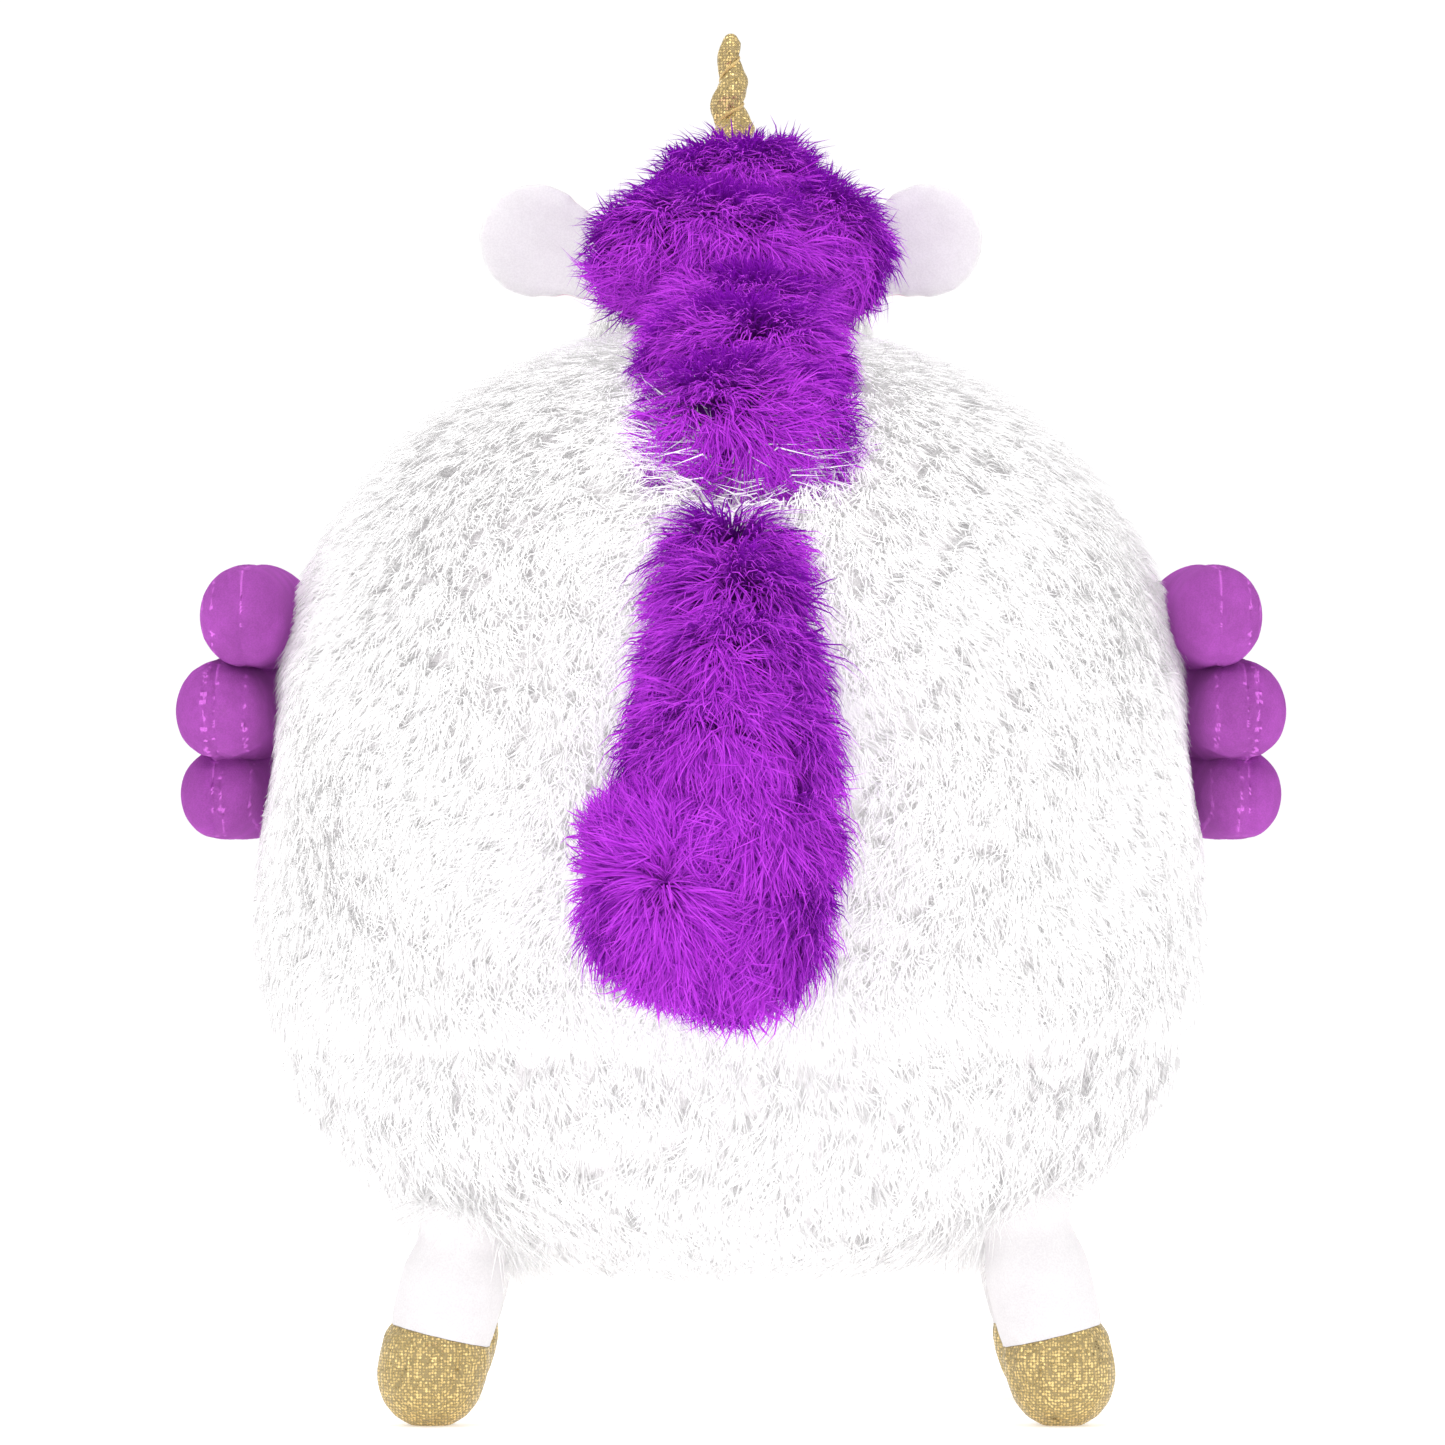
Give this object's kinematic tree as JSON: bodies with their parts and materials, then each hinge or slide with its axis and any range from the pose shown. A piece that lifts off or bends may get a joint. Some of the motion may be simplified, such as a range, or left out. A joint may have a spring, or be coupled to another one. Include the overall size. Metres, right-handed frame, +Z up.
{
  "type": "plush unicorn",
  "caption": "Round long-pile plush unicorn with purple mane, tail and wings, gold foil horn and hooves, and limbs, ears and tail that bend at their seams.",
  "frame": {"origin": "on the floor, under the middle of the toy's length and width", "axes": "+Z up, the animal looks along -Y, its own left side is +X"},
  "size_m": [0.4424, 0.4968, 0.5573],
  "materials": {
    "white_plush": "long pile, soft",
    "white_minky": "short smooth pile",
    "purple_plush": "long pile, lustrous",
    "mauve_minky": "short smooth pile",
    "pink_minky": "short smooth pile",
    "gold_foil": "foil dots on knit, metallic",
    "gold_thread": "metallic thread",
    "pink_thread": "satin stitch",
    "stuffing": "loose polyester fibre",
    "eye_plastic": "gloss",
    "washer_plastic": "matte"
  },
  "bodies": {
    "ball": {"back_panel_left": "white_plush", "back_panel_right": "white_plush", "front_panel_left": "white_plush", "front_panel_right": "white_plush", "belly_panel": "white_plush", "ball_stuffing": "stuffing", "mane_withers_puff": "purple_plush", "mane_middle_puff": "purple_plush", "mane_back_puff": "purple_plush", "mane_back_stuffing": "stuffing"},
    "head": {"head_skin_left": "white_minky", "head_skin_right": "white_minky", "head_stuffing": "stuffing", "eye_left": "eye_plastic", "eye_right": "eye_plastic", "eye_washers": "washer_plastic", "nostril_stitches": "pink_thread", "mouth_stitch": "pink_thread", "mane_crown_puff": "purple_plush", "mane_poll_puff": "purple_plush", "mane_nape_puff": "purple_plush", "mane_forelock": "purple_plush", "mane_head_stuffing": "stuffing"},
    "ear_left": {"ear_left_back": "white_minky", "ear_left_lining": "pink_minky"},
    "ear_right": {"ear_right_back": "white_minky", "ear_right_lining": "pink_minky"},
    "horn": {"horn_cover": "gold_foil", "horn_thread": "gold_thread", "horn_stuffing": "stuffing"},
    "wing_left": {"wing_left_outer": "mauve_minky", "wing_left_inner": "mauve_minky", "wing_left_stuffing": "stuffing", "wing_left_roll": "mauve_minky"},
    "wing_right": {"wing_right_outer": "mauve_minky", "wing_right_inner": "mauve_minky", "wing_right_stuffing": "stuffing", "wing_right_roll": "mauve_minky"},
    "tail_dock": {"tail_dock": "purple_plush"},
    "tail": {"tail_cover": "purple_plush", "tail_stuffing": "stuffing", "tail_curl": "purple_plush"},
    "leg_rear_left": {"leg_rear_left_sleeve": "white_minky", "leg_rear_left_hoof": "gold_foil", "leg_rear_left_stuffing": "stuffing"},
    "leg_rear_right": {"leg_rear_right_sleeve": "white_minky", "leg_rear_right_hoof": "gold_foil", "leg_rear_right_stuffing": "stuffing"},
    "leg_front_left": {"leg_front_left_sleeve": "white_minky", "leg_front_left_hoof": "gold_foil", "leg_front_left_stuffing": "stuffing"},
    "leg_front_right": {"leg_front_right_sleeve": "white_minky", "leg_front_right_hoof": "gold_foil", "leg_front_right_stuffing": "stuffing"}
  },
  "joints": [
    {"name": "head_turn", "type": "hinge", "parent": "ball", "child": "head", "pos_m": [0, 0, 0.424], "axis": [0, 0, 1], "range_deg": [-15, 15], "stiffness_Nm_per_rad": 0.4},
    {"name": "horn_tilt", "type": "hinge", "parent": "head", "child": "horn", "pos_m": [0, -0.06925, 0.48004], "axis": [1, 0, 0], "range_deg": [-8, 15], "stiffness_Nm_per_rad": 0.05},
    {"name": "ear_left_fold", "type": "hinge", "parent": "head", "child": "ear_left", "pos_m": [0.04454, -0.05492, 0.45885], "axis": [-0.342, 0, 0.9397], "range_deg": [-55, 15], "stiffness_Nm_per_rad": 0.03},
    {"name": "ear_right_fold", "type": "hinge", "parent": "head", "child": "ear_right", "pos_m": [-0.04454, -0.05492, 0.45885], "axis": [-0.342, 0, -0.9397], "range_deg": [-55, 15], "stiffness_Nm_per_rad": 0.03},
    {"name": "wing_left_flap", "type": "hinge", "parent": "ball", "child": "wing_left", "pos_m": [0.1757, -0.07099, 0.2815], "axis": [0, 0, -1], "range_deg": [0, 55], "stiffness_Nm_per_rad": 0.06},
    {"name": "wing_right_flap", "type": "hinge", "parent": "ball", "child": "wing_right", "pos_m": [-0.1757, -0.07099, 0.2815], "axis": [0, 0, 1], "range_deg": [0, 55], "stiffness_Nm_per_rad": 0.06},
    {"name": "tail_swing", "type": "hinge", "parent": "ball", "child": "tail_dock", "pos_m": [0, 0.16443, 0.33091], "axis": [0, 0.829, 0.5592], "range_deg": [-35, 35], "stiffness_Nm_per_rad": 0.1},
    {"name": "tail_lift", "type": "hinge", "parent": "tail_dock", "child": "tail", "pos_m": [0, 0.16443, 0.33091], "axis": [1, 0, 0], "range_deg": [0, 90], "stiffness_Nm_per_rad": 0.08},
    {"name": "leg_rear_left_swing", "type": "hinge", "parent": "ball", "child": "leg_rear_left", "pos_m": [0.10329, 0.07437, 0.08127], "axis": [1, 0, 0], "range_deg": [-20, 20], "stiffness_Nm_per_rad": 1},
    {"name": "leg_rear_right_swing", "type": "hinge", "parent": "ball", "child": "leg_rear_right", "pos_m": [-0.11385, 0.07452, 0.08692], "axis": [1, 0, 0], "range_deg": [-20, 20], "stiffness_Nm_per_rad": 1},
    {"name": "leg_front_left_swing", "type": "hinge", "parent": "ball", "child": "leg_front_left", "pos_m": [0.10242, -0.0869, 0.08571], "axis": [1, 0, 0], "range_deg": [-20, 20], "stiffness_Nm_per_rad": 1},
    {"name": "leg_front_right_swing", "type": "hinge", "parent": "ball", "child": "leg_front_right", "pos_m": [-0.11298, -0.08707, 0.09187], "axis": [1, 0, 0], "range_deg": [-20, 20], "stiffness_Nm_per_rad": 1}
  ]
}
